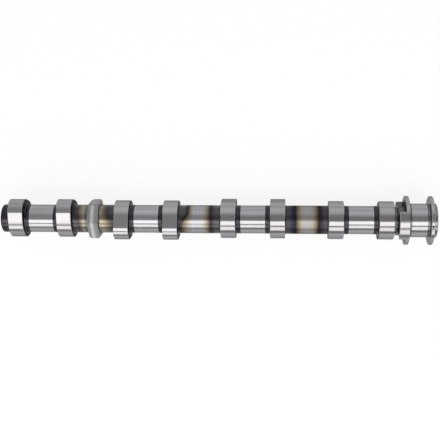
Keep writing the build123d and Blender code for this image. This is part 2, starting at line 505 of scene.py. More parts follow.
@dataclass(frozen=True)
class DriveEnd:
    """The nose, the two collars with the thrust journal between them, the sensor ring and the neck."""

    nose_radius: float = 15.0
    nose_length: float = 3.6
    nose_edge: float = 0.7
    collar_radius: float = 21.5
    collar_edge: float = 0.4
    front_collar_width: float = 2.9
    rear_collar_width: float = 3.1
    thrust_radius: float = 14.9
    thrust_width: float = 18.0
    undercut_width: float = 2.1
    undercut_depth: float = 0.45
    undercut_steps: int = 4
    neck_radius: float = 11.6
    neck_width: float = 3.6
    neck_round: float = 0.4
    neck_lobe_root: float = 0.5
    neck_painted_shade: float = 1.3
    dowel_circle: float = 10.3
    dowel_angle: float = 40.0
    dowel_radius: float = 2.5
    dowel_depth: float = 8.0
    dowel_edge: float = 0.4
    rim_hole_angle: float = -14.5
    rim_hole_radius: float = 0.95
    rim_hole_depth: float = 4.0
    rim_hole_edge: float = 0.05
    bolt_hole: BoltHole = BoltHole()
    ring: SensorRing = SensorRing()

    def undercut(self, wall: float, side: int) -> list[tuple[float, float]]:
        """Works out the groove beside a collar: a quarter round, a flat floor and a slope.

        Args:
            wall: Where the collar's face is.
            side: 1 where the journal runs forwards from the collar, -1 where it runs rearwards.

        Returns:
            Places and radii in the order in which the profile runs.
        """
        size = self.undercut_depth
        low = self.thrust_radius - size
        bottom = root_round(wall, low, size, side, self.undercut_steps)
        slope = [(wall + side * self.undercut_width, self.thrust_radius)]
        slope.append((wall + side * (self.undercut_width - size), low))
        return slope + bottom if side > 0 else bottom + slope[::-1]

    def add_to(self, profile: ShaftProfile) -> float:
        """Adds the drive end's outlines, from the bolt hole's point to the neck.

        Args:
            profile: The shaft's empty profile.

        Returns:
            Where the first lobe's front face is.
        """
        nose, edge, rim = self.nose_radius, self.collar_edge, self.collar_radius
        collar = -self.nose_length
        thrust_front = collar - self.front_collar_width
        thrust_rear = thrust_front - self.thrust_width
        ring_front = thrust_rear - self.rear_collar_width
        self.bolt_hole.add_to(profile)
        profile.turn([(0.0, nose - self.nose_edge)], Skin.GROUND)
        profile.turn([(-self.nose_edge, nose)], Skin.NOSE)
        profile.turn([(collar, nose)], Skin.TURNED)
        profile.turn([(collar, rim - edge), (collar - edge, rim)], Skin.COLLAR)
        profile.turn([(thrust_front + edge, rim)], Skin.COLLAR)
        profile.turn([(thrust_front, rim - edge)], Skin.TURNED)
        profile.turn(self.undercut(thrust_front, -1), Skin.TURNED)
        profile.change_skin(Skin.GROUND)
        profile.turn(self.undercut(thrust_rear, 1), Skin.TURNED)
        profile.turn([(thrust_rear, rim - edge), (thrust_rear - edge, rim)], Skin.COLLAR)
        self.ring.add_to(profile, ring_front, rim, edge)
        ring_rear = ring_front - self.ring.width
        profile.turn(root_round(ring_rear, self.neck_radius, self.neck_round, -1), Skin.SCALE)
        # Black scale runs on for a strip beside the ring's rear face as painted shade; the rest of the neck
        # is smoked steel.
        profile.turn([(ring_rear - self.neck_painted_shade, self.neck_radius)], Skin.SMOKED)
        return ring_rear - self.neck_width


@dataclass(frozen=True)
class RearEnd:
    """The stub behind the last lobe, with the centre hole on which the shaft was turned."""

    radius: float = 12.6
    edge: float = 1.5
    edge_steps: int = 4
    mouth_radius: float = 3.75
    pilot_radius: float = 1.6
    pilot_depth: float = 7.0
    cone_angle: float = 60.0
    point_angle: float = 118.0

    def add_to(self, profile: ShaftProfile, face: float) -> None:
        """Adds the stub's outlines, from its rounded edge to the centre hole's point.

        At an angle a the edge lies edge * (1 - sin a) in front of the face, and edge * (1 - cos a)
        under the stub's radius.

        Args:
            profile: The shaft's profile so far.
            face: Where the rear face is.
        """
        turn = np.radians(np.linspace(0.0, 90.0, self.edge_steps + 1))
        places = face + self.edge * (1.0 - np.sin(turn))
        radii = self.radius - self.edge * (1.0 - np.cos(turn))
        profile.turn(zip(places.tolist(), radii.tolist()), Skin.SCALE)
        cone = (self.mouth_radius - self.pilot_radius) / math.tan(math.radians(self.cone_angle / 2.0))
        point = self.pilot_radius / math.tan(math.radians(self.point_angle / 2.0))
        profile.turn([(face, self.mouth_radius)], Skin.TURNED)
        profile.turn([(face + cone, self.pilot_radius)], Skin.BORE)
        profile.turn([(face + self.pilot_depth, self.pilot_radius)], Skin.BORE)
        profile.turn([(face + self.pilot_depth + point, 0.0)], Skin.BORE)


@dataclass(frozen=True)
class Drilling:
    """A blind hole that is drilled into the finished skin, such as the one for the timing dowel."""

    mouth: tuple[float, float, float]
    heading: tuple[float, float, float]
    radius: float
    depth: float
    mouth_edge: float
    overrun: float = 2.0
    point_angle: float = 118.0
    sides: int = 40

    def grid(self) -> np.ndarray:
        """Works out the drill's closed form as rings of points.

        A ring's point at an angle a is the mouth, plus the ring's depth along the heading, plus its
        radius times cos a along one cross direction and sin a along the other.

        Returns:
            An array of rings by spokes by three, in millimetres.
        """
        point = self.radius / math.tan(math.radians(self.point_angle / 2.0))
        wide = self.radius + self.mouth_edge + self.overrun
        depths = np.array([-self.overrun, -self.overrun, self.mouth_edge, self.depth, self.depth + point])
        radii = np.array([0.0, wide, self.radius, self.radius, 0.0])
        along = np.array(self.heading) / np.linalg.norm(self.heading)
        across = np.cross(along, (1.0, 0.0, 0.0) if abs(along[0]) < 0.5 else (0.0, 1.0, 0.0))
        across /= np.linalg.norm(across)
        angles = np.linspace(0.0, 2.0 * math.pi, self.sides + 1)
        round_about = np.cos(angles)[:, None] * across + np.sin(angles)[:, None] * np.cross(along, across)
        return (
            np.array(self.mouth)
            + depths[:, None, None] * along
            + radii[:, None, None] * round_about[None, :, :]
        )


def skin_mesh(name: str, grid: np.ndarray, skins: np.ndarray) -> bpy.types.Mesh:
    """Makes a closed mesh from a grid of points, welding the points that coincide.

    Neighbouring points of the grid become four-sided faces. Points that share a place become one, and
    a face that loses corners by that becomes a triangle or is left out.

    Args:
        name: The mesh's name.
        grid: Rings by spokes by three, in millimetres.
        skins: The material index of each face, rings less one by spokes less one.

    Returns:
        The mesh, in metres.
    """
    rings, spokes = grid.shape[:2]
    flat = grid.reshape(-1, 3) * METRES
    _, first, welded = np.unique(
        np.round(flat / WELD_GRID).astype(np.int64), axis=0, return_index=True, return_inverse=True
    )
    index = welded.reshape(rings, spokes)
    quads = np.stack([index[:-1, :-1], index[:-1, 1:], index[1:, 1:], index[1:, :-1]], axis=-1)
    quads = quads.reshape(-1, 4)
    kept = quads != np.roll(quads, 1, axis=1)
    whole = kept.sum(axis=1) > 2
    kept = kept[whole]
    totals = kept.sum(axis=1)
    corners = quads[whole][kept]
    mesh = bpy.data.meshes.new(name)
    mesh.vertices.add(len(first))
    mesh.vertices.foreach_set("co", flat[first].astype(np.float32).ravel())
    mesh.loops.add(len(corners))
    mesh.loops.foreach_set("vertex_index", corners.astype(np.int32))
    mesh.polygons.add(len(totals))
    mesh.polygons.foreach_set("loop_start", (np.cumsum(totals) - totals).astype(np.int32))
    mesh.polygons.foreach_set("loop_total", totals.astype(np.int32))
    mesh.polygons.foreach_set("material_index", skins.reshape(-1)[whole].astype(np.int32))
    mesh.update(calc_edges=True)
    mesh.validate()
    return mesh


class Signal:
    """A shader socket that takes part in sums, each of which adds one Math node."""

    def __init__(self, graph: "Graph", socket: bpy.types.NodeSocket) -> None:
        """Keeps the graph and the socket."""
        self.graph = graph
        self.socket = socket

    def _math(self, operation: str, *values: Any) -> "Signal":
        """Adds a Math node over the given values, this signal among them."""
        return self.graph.add("ShaderNodeMath", {"operation": operation}, dict(enumerate(values)))

    def __add__(self, other: Any) -> "Signal":
        """Returns the sum."""
        return self._math("ADD", self, other)

    __radd__ = __add__

    def __sub__(self, other: Any) -> "Signal":
        """Returns the difference."""
        return self._math("SUBTRACT", self, other)

    def __rsub__(self, other: Any) -> "Signal":
        """Returns the difference the other way round."""
        return self._math("SUBTRACT", other, self)

    def __mul__(self, other: Any) -> "Signal":
        """Returns the product."""
        return self._math("MULTIPLY", self, other)

    __rmul__ = __mul__

    def __truediv__(self, other: Any) -> "Signal":
        """Returns the quotient."""
        return self._math("DIVIDE", self, other)

    def largest(self, other: Any) -> "Signal":
        """Returns the larger of the two."""
        return self._math("MAXIMUM", self, other)

    def smallest(self, other: Any) -> "Signal":
        """Returns the smaller of the two."""
        return self._math("MINIMUM", self, other)

    def size(self) -> "Signal":
        """Returns the value without its sign."""
        return self._math("ABSOLUTE", self)

    def ramp(self, low: float, high: float) -> "Signal":
        """Returns 0 below low, 1 above high and a smooth rise between them."""
        settings = {"interpolation_type": "SMOOTHSTEP"}
        return self.graph.add("ShaderNodeMapRange", settings, {0: self, 1: low, 2: high, 3: 0.0, 4: 1.0})

    def remap(self, low: float, high: float) -> "Signal":
        """Returns the value, which runs from 0 to 1, spread between low and high."""
        return self.graph.add("ShaderNodeMapRange", {}, {0: self, 1: 0.0, 2: 1.0, 3: low, 4: high})


class Graph:
    """Builds the node tree of one material or of the world."""

    def __init__(self, tree: bpy.types.NodeTree) -> None:
        """Takes a node tree and empties it."""
        self.tree = tree
        tree.nodes.clear()

    def add(
        self,
        kind: str,
        settings: dict[str, Any] | None = None,
        sockets: dict[str | int, Any] | None = None,
        output: str | int = 0,
    ) -> Signal:
        """Adds a node.

        Args:
            kind: The node's type.
            settings: Its properties, set first. A ramp's stops are given as "stops", a list of
                positions and colours.
            sockets: Its inputs by name or number, each a plain value or a signal to link.
            output: The output that is returned.

        Returns:
            The node's output as a signal.
        """
        node = self.tree.nodes.new(kind)
        for name, value in (settings or {}).items():
            if name == "stops":
                self._set_stops(node.color_ramp, value)
            else:
                setattr(node, name, value)
        for key, value in (sockets or {}).items():
            if isinstance(value, Signal):
                self.tree.links.new(value.socket, node.inputs[key])
            else:
                node.inputs[key].default_value = value
        return Signal(self, node.outputs[output] if len(node.outputs) else None)

    @staticmethod
    def _set_stops(color_ramp: bpy.types.ColorRamp, stops: list[tuple[float, tuple[float, ...]]]) -> None:
        """Gives a ramp its stops.

        Args:
            color_ramp: The ramp.
            stops: Positions and colours, with rising positions.
        """
        while len(color_ramp.elements) < len(stops):
            color_ramp.elements.new(1.0)
        for element, (position, colour) in zip(color_ramp.elements, stops):
            element.position = position
            element.color = (*colour, 1.0)

    def axes(self) -> tuple[Signal, Signal, Signal, Signal]:
        """Returns the place on the object as a vector and as its x, y and z, in metres."""
        place = self.add("ShaderNodeTexCoord", output="Object")
        return place, *self.split(place)

    def split(self, vector: Signal) -> list[Signal]:
        """Returns the three parts of a vector."""
        return [self.add("ShaderNodeSeparateXYZ", {}, {0: vector}, axis) for axis in range(3)]

    def vector(self, x: Any, y: Any, z: Any) -> Signal:
        """Returns a vector of three values."""
        return self.add("ShaderNodeCombineXYZ", {}, {0: x, 1: y, 2: z})

    def noise(
        self, vector: Signal, scale: float, detail: float = NOISE_DETAIL,
        roughness: float = NOISE_ROUGHNESS,
    ) -> Signal:
        """Returns smooth noise from 0 to 1, so many to the metre."""
        sockets = {"Vector": vector, "Scale": scale, "Detail": detail, "Roughness": roughness}
        return self.add("ShaderNodeTexNoise", {}, sockets)

    def mix(self, factor: Any, first: Any, second: Any, blend: str = "MIX") -> Signal:
        """Returns a blend of two colours."""
        settings = {"data_type": "RGBA", "blend_type": blend}
        return self.add("ShaderNodeMix", settings, {0: factor, 6: first, 7: second}, 2)


Colour = tuple[float, float, float]


def solid(colour: Colour) -> tuple[float, float, float, float]:
    """Returns a colour with its alpha."""
    return (*colour, 1.0)


@dataclass(frozen=True)
class Finish:
    """A bare metal finish with fine marks, a slow change of tone and a grain in its surface.

    Attributes:
        name: The material's name.
        colour: The metal's own colour.
        roughness: How soft its reflections are.
        edge_level: How much of its shine is left where it is seen at a low angle.
        tone: How much the colour changes from place to place, as a share.
        rough_change: How much the roughness changes.
        marks: Tool marks to the metre.
        marks_about: Whether the marks run round the shaft, and not round a face square to it.
        mark_height: How high the marks stand, in millimetres.
        grain: Grains to the metre.
        grain_height: How high the grain stands, in millimetres.
        streaks: Changes to the metre along a mark.
        clouds: Clouds of tone to the metre.
        cloud_roughness: How rough their edges are.
        mark_share: The share of the marks in the change of tone. The clouds have the rest.
    """

    name: str
    colour: Colour
    roughness: float
    edge_level: float = 1.0
    tone: float = 0.06
    rough_change: float = 0.04
    marks: float = 1500.0
    marks_about: bool = True
    mark_height: float = 0.0006
    grain: float = 900.0
    grain_height: float = 0.0
    streaks: float = 30.0
    clouds: float = 90.0
    cloud_roughness: float = 0.55
    mark_share: float = 0.55

    def cover(self, graph: Graph, axes: tuple[Signal, ...]) -> tuple[Any, Any]:
        """Works out the colour over the surface and the share of it under a thin clear skin."""
        return solid(self.colour), 0.0

    def grey(self, graph: Graph, tone: Signal) -> Signal:
        """Returns a grey round 1 that carries the change of tone."""
        level = tone.remap(1.0 - self.tone, 1.0 + self.tone)
        return graph.vector(level, level, level)

    def material(self) -> bpy.types.Material:
        """Builds the material.

        The marks are noise that is stretched round the shaft, or round a face square to it.

        Returns:
            The material.
        """
        material = bpy.data.materials.new(self.name)
        material.use_nodes = True
        graph = Graph(material.node_tree)
        place, x, y, z = axes = graph.axes()
        across = x
        if not self.marks_about:
            spoke = graph.vector(0.0, y, z)
            across = graph.add("ShaderNodeVectorMath", {"operation": "LENGTH"}, {0: spoke}, 1)
        lines_at = graph.vector(across * self.marks, y * self.streaks, z * self.streaks)
        lines = graph.noise(lines_at, 1.0)
        cloud = graph.noise(place, self.clouds, roughness=self.cloud_roughness)
        tone = lines * self.mark_share + cloud * (1.0 - self.mark_share)
        grain = graph.noise(place, self.grain)
        height = lines * (self.mark_height * METRES) + grain * (self.grain_height * METRES)
        normal = graph.add("ShaderNodeBump", {}, {"Strength": 1.0, "Distance": 1.0, "Height": height})
        rough = tone.remap(self.roughness - self.rough_change, self.roughness + self.rough_change)
        colour, clear_skin = self.cover(graph, axes)
        shader = graph.add(
            "ShaderNodeBsdfPrincipled",
            {},
            {
                "Base Color": graph.mix(1.0, colour, self.grey(graph, tone), "MULTIPLY"),
                "Metallic": 1.0,
                "Specular Tint": solid((self.edge_level,) * 3),
                "Roughness": rough,
                "Coat Weight": clear_skin,
                "Coat Roughness": self.roughness,
                "Normal": normal,
            },
        )
        graph.add("ShaderNodeOutputMaterial", {}, {"Surface": shader})
        return material


@dataclass(frozen=True)
class PaintedHighlightFinish(Finish):
    """The hexagon's finish, with a painted highlight band along the middle of its flats.

    Attributes:
        middle: Where the painted highlight band is.
        half_width: How far it reaches to each side until it is gone.
        top: Where towards +Y it is gone.
        fade: How far before there it starts to go.
        highlight_colour: The painted highlight's colour.
        patches: Patches of the painted highlight to the metre.
        patch_strength: How strong the painted highlight is in the weakest and the strongest patch.
    """

    middle: float = 0.0
    half_width: float = 3.2
    top: float = 12.5
    fade: float = 1.5
    highlight_colour: Colour = (0.60, 0.592, 0.592)
    patches: float = 260.0
    patch_strength: tuple[float, float] = (0.55, 1.3)

    def cover(self, graph: Graph, axes: tuple[Signal, ...]) -> tuple[Any, Any]:
        """Works out the dull colour, with the painted highlight band along the middle.

        Args:
            graph: The material's node tree.
            axes: The place on the object, and its x, y and z.

        Returns:
            The colour, and the share of it under a clear skin.
        """
        # Painted highlight: paler along the middle of each flat, gone towards +Y, stronger and weaker in
        # random patches.
        off = (axes[1] - self.middle * METRES).size()
        below_top = axes[2].ramp(self.top * METRES, (self.top - self.fade) * METRES)
        patchy = graph.noise(axes[0], self.patches).remap(*self.patch_strength)
        highlight_band = off.ramp(self.half_width * METRES, 0.0) * below_top * patchy
        return graph.mix(highlight_band, solid(self.colour), solid(self.highlight_colour)), 0.0


@dataclass(frozen=True)
class HeatSide:
    """The heat tint on the raw shaft beside one hardened lobe.

    Attributes:
        face: Where the lobe's face is, in millimetres.
        dark_at: How far from there the darkest ring is.
        bare_at: How far from there the steel is bare.
        lean: How much further the darkest ring lies for each millimetre towards +Y.
        blue: How blue the dark part is, from 0 to 1.
    """

    face: float
    dark_at: float
    bare_at: float
    lean: float = 0.0
    blue: float = 0.0


@dataclass(frozen=True)
class TemperedFinish(Finish):
    """The raw shaft between two lobes, tinted by the heat that hardened them.

    The heat left a thin clear skin of oxide, which is gone where the steel is bare.

    Attributes:
        sides: The tints beside the two lobes.
        coolest: How far through the colours the tint gets, where 1 is bare steel.
        dark_ring: The ends of a darker greenish ring on the shaft, in millimetres.
        dark_ring_fade: How far to each side of an end it fades.
        dark_ring_colour: The ring's colour.
        wobble: How far the rings stray, in millimetres.
        wobbles: Strays to the metre.
        wobble_detail: How finely broken they are.
        lean_end: How far to each side of the axis the rings lean, in millimetres.
        clear_skin: The share under the clear skin beside the lobes.
        ring_skin: The same from the darkest ring on.
        skin_change: How far in the colours lies between the two.
        skin_end: Where in the colours the skin is gone, and where it starts to go.
        dark_stop: Where the darkest ring is among the colours.
        stops: The colours, from the lobe towards bare steel, which comes last.
        bare_stop: Where bare steel starts among them.
        deep_blue: The bluest colour of the dark part.
        blue_rise: Where among the colours the blue starts and is full.
        blue_fall: Where it is gone, and where it starts to go.
    """

    sides: tuple[HeatSide, ...] = ()
    coolest: float = 1.0
    dark_ring: tuple[float, float] = (0.0, 0.0)
    dark_ring_fade: float = 1.0
    dark_ring_colour: Colour = (0.085, 0.09, 0.08)
    wobble: float = 1.8
    wobbles: float = 120.0
    wobble_detail: float = 5.0
    lean_end: float = 4.5
    clear_skin: float = 0.8
    ring_skin: float = 0.8
    skin_change: float = 0.3
    skin_end: tuple[float, float] = (0.95, 0.72)
    dark_stop: float = 0.5
    stops: tuple[tuple[float, Colour], ...] = (
        (0.00, (0.034, 0.034, 0.038)),
        (0.29, (0.036, 0.033, 0.041)),
        (0.42, (0.027, 0.025, 0.031)),
        (0.50, (0.018, 0.014, 0.015)),
        (0.55, (0.036, 0.026, 0.020)),
        (0.60, (0.085, 0.061, 0.042)),
        (0.66, (0.155, 0.124, 0.090)),
        (0.73, (0.212, 0.190, 0.148)),
        (0.81, (0.280, 0.259, 0.221)),
    )
    bare_stop: float = 0.94
    deep_blue: Colour = (0.014, 0.019, 0.042)
    blue_rise: tuple[float, float] = (0.18, 0.4)
    blue_fall: tuple[float, float] = (0.62, 0.52)

    def cover(self, graph: Graph, axes: tuple[Signal, ...]) -> tuple[Any, Any]:
        """Works out the temper colours, which follow the distance from the nearest hardened lobe.

        Beside a lobe the place among the colours is 0 at the lobe, dark_stop at the darkest ring
        and 1 where the steel is bare, and the smaller of the two sides' places counts.

        Args:
            graph: The material's node tree.
            axes: The place on the object, and its x, y and z.

        Returns:
            The colour, and the share of it under a clear skin.
        """
        place, x, y = axes[:3]
        stray = (graph.noise(place, self.wobbles, self.wobble_detail) - 0.5) * (self.wobble * METRES)
        leaning = y.largest(-self.lean_end * METRES).smallest(self.lean_end * METRES)
        cool = blue = None
        for side in self.sides:
            dark = leaning * side.lean + side.dark_at * METRES
            past = (x - side.face * METRES).size() + stray - dark
            here = past * (1.0 - self.dark_stop) / (side.bare_at * METRES - dark) + self.dark_stop
            cool = here if cool is None else cool.smallest(here)
            ring = here.ramp(*self.blue_rise) * here.ramp(*self.blue_fall) * side.blue
            blue = ring if blue is None else blue.largest(ring)
        cool = cool.smallest(self.coolest)
        stops = [*self.stops, (self.bare_stop, self.colour)]
        tint = graph.add("ShaderNodeValToRGB", {"stops": stops}, {0: cool})
        tinted = graph.mix(blue, tint, solid(self.deep_blue))
        rear, front, edge = (value * METRES for value in (*self.dark_ring, self.dark_ring_fade))
        in_dark_ring = x.ramp(rear - edge, rear + edge) * x.ramp(front + edge, front - edge)
        near_lobe = cool.ramp(self.dark_stop, self.dark_stop - self.skin_change)
        skin = near_lobe * (self.clear_skin - self.ring_skin)
        skin += cool.ramp(*self.skin_end) * self.ring_skin
        return graph.mix(in_dark_ring, tinted, solid(self.dark_ring_colour)), skin


@dataclass(frozen=True)
class Camshaft:
    """The whole shaft: its lobes, journals and hexagon at the frame's places, and its two ends."""

    raw_radius: float = 12.65
    lobe_offset: float = 21.87
    first_nose: float = 39.5
    nose_turns: tuple[float, ...] = (0.0, -90.0, 90.0, 180.0)
    spoke_step: float = 1.5
    sharp_angle: float = 26.0
    steel: Colour = (0.336, 0.334, 0.352)
    lobe: CamLobe = CamLobe()
    journal: Journal = Journal()
    hexagon: SpannerHexagon = SpannerHexagon()
    drive_end: DriveEnd = DriveEnd()
    rear_end: RearEnd = RearEnd()

    def spokes(self) -> Spokes:
        """Works out the directions of the outlines' points.

        The windows' walls divide the turn. Each division gets evenly spaced spokes with one on both its
        ends, the hexagon's corners get spokes of their own, and so do the corners of the windows.

        Returns:
            The directions, and which of them belong to a window.
        """
        ring = self.drive_end.ring
        near_wall = ring.corner(self.drive_end.collar_radius)[0]
        walls = np.array(ring.windows).ravel()
        ends = np.append(walls, walls[0] + FULL_TURN)
        corners = self.hexagon.corner_spokes()
        corners = np.concatenate([corners, corners + FULL_TURN])
        angles, in_window = [], []
        for number, (start, end) in enumerate(zip(ends[:-1], ends[1:])):
            window = number % 2 == 0
            even = np.linspace(start, end, int(math.ceil((end - start) / self.spoke_step)) + 1)
            extra = [corners[(corners > start) & (corners < end)]]
            if window:
                extra += [start + near_wall, end - near_wall]
            part = np.unique(np.round(np.concatenate([even, *extra]), 6))
            angles.append(part)
            in_window.append(np.full(part.shape, window))
        return Spokes(np.radians(np.concatenate(angles)), np.concatenate(in_window))

    def profile(self) -> ShaftProfile:
        """Stacks the outlines of the whole shaft.

        Returns:
            The profile, from the bolt hole's point to the centre hole's.
        """
        profile = ShaftProfile(self.spokes())
        self.drive_end.add_to(profile)
        for number in (4, 3, 2, 1):
            centre = mount_place(f"journal_{number}")
            nose = self.first_nose + self.nose_turns[number - 1]
            beside_neck = (self.drive_end.neck_radius, self.drive_end.neck_lobe_root)
            beside_neck = beside_neck if number == 4 else None
            self.lobe.add_to(profile, centre + self.lobe_offset, nose, self.raw_radius, beside_neck)
            self.journal.add_to(profile, centre, self.raw_radius)
            self.lobe.add_to(profile, centre - self.lobe_offset, nose, self.raw_radius)
            if number > 1:
                profile.change_skin(Skin[f"BAY_{number - 1}"])
            if number == 2:
                self.hexagon.add_to(profile, mount_place("spanner_hexagon"), self.raw_radius)
                profile.change_skin(Skin.BAY_1)
        self.rear_end.add_to(profile, CAD_BOX[0][0] / METRES)
        return profile

    def drillings(self) -> list[Drilling]:
        """Works out the timing dowel's hole and the small hole in the front collar's rim.

        Returns:
            The two drillings.
        """
        end = self.drive_end
        dowel = around(0.0, end.dowel_circle, end.dowel_angle)
        middle = -end.nose_length - end.front_collar_width / 2.0
        rim = around(middle, end.collar_radius, end.rim_hole_angle)
        inwards = around(0.0, -1.0, end.rim_hole_angle)
        return [
            Drilling(dowel, (-1.0, 0.0, 0.0), end.dowel_radius, end.dowel_depth, end.dowel_edge),
            Drilling(rim, inwards, end.rim_hole_radius, end.rim_hole_depth, end.rim_hole_edge),
        ]

    def bays(self) -> dict[Skin, Finish]:
        """Builds the finishes of the three bays between the cylinders.

        Each bay has a heat tint beside the lobe at its rear end and another beside the one at its
        front.

        Returns:
            The finish of each bay.
        """
        reach = self.lobe_offset + self.lobe.width / 2.0
        rears = [mount_place(f"journal_{number}") + reach for number in (1, 2, 3)]
        fronts = [mount_place(f"journal_{number}") - reach for number in (2, 3, 4)]
        hexagon = mount_place("spanner_hexagon")
        bay_1 = (HeatSide(rears[0], 4.8, 15.5, -0.25), HeatSide(fronts[0], 3.8, 20.0, 0.6))
        bay_2 = (HeatSide(rears[1], 5.2, 14.5, 0.8, 0.2), HeatSide(fronts[1], 8.6, 17.2))
        bay_3 = (HeatSide(rears[2], 8.4, 18.3, 0.0, 0.45), HeatSide(fronts[2], 7.8, 17.4, 0.0, 0.1))
        steel = self.steel
        return {
            Skin.BAY_1: TemperedFinish(
                "bay_1", steel, 0.22, edge_level=0.25, sides=bay_1, coolest=0.735,
                # A darker greenish ring on the shaft at the hexagon's rear root.
                dark_ring=(hexagon - 7.7, hexagon - 4.3),
            ),
            Skin.BAY_2: TemperedFinish(
                "bay_2", steel, 0.24, edge_level=0.45, sides=bay_2, clear_skin=0.9, ring_skin=0.25
            ),
            Skin.BAY_3: TemperedFinish(
                "bay_3", (0.286, 0.284, 0.288), 0.36, edge_level=0.45, sides=bay_3, clear_skin=0.6,
                ring_skin=0.05,
            ),
        }

    def materials(self) -> list[bpy.types.Material]:
        """Builds the materials of all the finishes.

        Returns:
            The materials, in the order of Skin.
        """
        blasted = {"mark_height": 0.0, "grain": 1800.0, "grain_height": 0.02}
        finishes = {
            Skin.GROUND: Finish(
                "ground_steel", self.steel, 0.16, edge_level=0.5, tone=0.12, mark_height=0.003
            ),
            Skin.LOBE: Finish(
                "lobe_steel", (0.327, 0.320, 0.332), 0.15, edge_level=0.45, tone=0.13, marks=1100.0,
                mark_height=0.003,
            ),
            Skin.COLLAR: Finish(
                "collar_steel", (0.327, 0.322, 0.335), 0.185, edge_level=0.4, tone=0.14, mark_height=0.002
            ),
            Skin.NOSE: Finish("nose_steel", (0.20, 0.197, 0.20), 0.2, edge_level=0.6, mark_height=0.002),
            Skin.SCALE: Finish(
                "black_scale", (0.041, 0.041, 0.047), 0.22, edge_level=0.65, tone=0.75,
                rough_change=0.08, marks=520.0, mark_height=0.001, grain_height=0.01,
            ),
            Skin.WALL: Finish(
                "lobe_wall", (0.088, 0.087, 0.097), 0.42, edge_level=0.35, tone=0.4, rough_change=0.08,
                marks=700.0, marks_about=False, mark_height=0.01, grain_height=0.006,
            ),
            # The hexagon's middle: dull steel with a painted highlight band.
            Skin.RUBBED: PaintedHighlightFinish(
                "hexagon_painted_highlight", (0.285, 0.281, 0.285), 0.55, tone=0.2,
                middle=mount_place("spanner_hexagon") + self.hexagon.highlight_offset, **blasted,
            ),
            Skin.DULL: Finish(
                "dull_steel", (0.29, 0.288, 0.288), 0.5, edge_level=0.7, tone=0.12, **blasted
            ),
            Skin.TURNED: Finish(
                "turned_face", (0.19, 0.19, 0.193), 0.26, edge_level=0.6, tone=0.16, marks=1200.0,
                marks_about=False, mark_height=0.006,
            ),
            Skin.SMOKED: Finish(
                "smoked_steel", (0.122, 0.122, 0.126), 0.3, edge_level=0.4, tone=0.15, mark_height=0.0,
                grain_height=0.006,
            ),
            Skin.BORE: Finish("bore_steel", (0.22, 0.22, 0.225), 0.35),
            # The drilled holes' walls are near-black: painted shade inside the holes.
            Skin.HOLE: Finish("drilled_hole_painted_shade", (0.02, 0.02, 0.022), 0.5, edge_level=0.3),
        }
        finishes.update(self.bays())
        return [finishes[skin].material() for skin in Skin]

    def build(self) -> bpy.types.Object:
        """Makes the shaft's skin, drills its holes and dresses it.

        The point of an outline at a direction a is at radius * sin a towards +Y and at
        radius * cos a towards +Z.

        Returns:
            The finished shaft.
        """
        profile = self.profile()
        radii = np.stack(profile.outlines)
        places = np.array(profile.places)[:, None]
        angles = profile.spokes.angles[None, :]
        grid = np.stack(
            [np.broadcast_to(places, radii.shape), radii * np.sin(angles), radii * np.cos(angles)], axis=-1
        )
        in_window = profile.spokes.in_window
        face_in_window = in_window[:-1] | in_window[1:]
        skins = np.where(
            face_in_window[None, :],
            np.array(profile.window_skins)[:-1, None],
            np.array(profile.skins)[:-1, None],
        )
        shaft = bpy.data.objects.new("finished_camshaft", skin_mesh("finished_camshaft", grid, skins))
        bpy.context.scene.collection.objects.link(shaft)
        for drilling in self.drillings():
            drill(shaft, drilling)
        for material in self.materials():
            shaft.data.materials.append(material)
        shaft.data.shade_smooth()
        shaft.data.set_sharp_from_angle(angle=math.radians(self.sharp_angle))
        even = shaft.modifiers.new("even_normals", "WEIGHTED_NORMAL")
        even.keep_sharp = True
        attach(shaft, CAD_BODY)
        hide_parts(CAD_NODE)
        LOG.info("%s: %d outlines of %d points", shaft.name, *radii.shape)
        LOG.info("%s: %d faces", shaft.name, len(shaft.data.polygons))
        return shaft


def drill(piece: bpy.types.Object, drilling: Drilling) -> None:
    """Cuts a blind hole into a piece.

    Args:
        piece: The piece, which gets a new mesh.
        drilling: The hole.
    """
    grid = drilling.grid()
    # The hole's walls get the near-black finish, which is painted shade.
    skins = np.full((grid.shape[0] - 1, grid.shape[1] - 1), Skin.HOLE.value)
    tool = bpy.data.objects.new("drill", skin_mesh("drill", grid, skins))
    bpy.context.scene.collection.objects.link(tool)
    cut = piece.modifiers.new("drilling", "BOOLEAN")
    cut.operation = "DIFFERENCE"
    cut.solver = "EXACT"
    cut.object = tool
    finished = piece.evaluated_get(bpy.context.evaluated_depsgraph_get())
    mesh = bpy.data.meshes.new_from_object(finished)
    piece.modifiers.clear()
    piece.data = mesh
    bpy.data.objects.remove(tool)


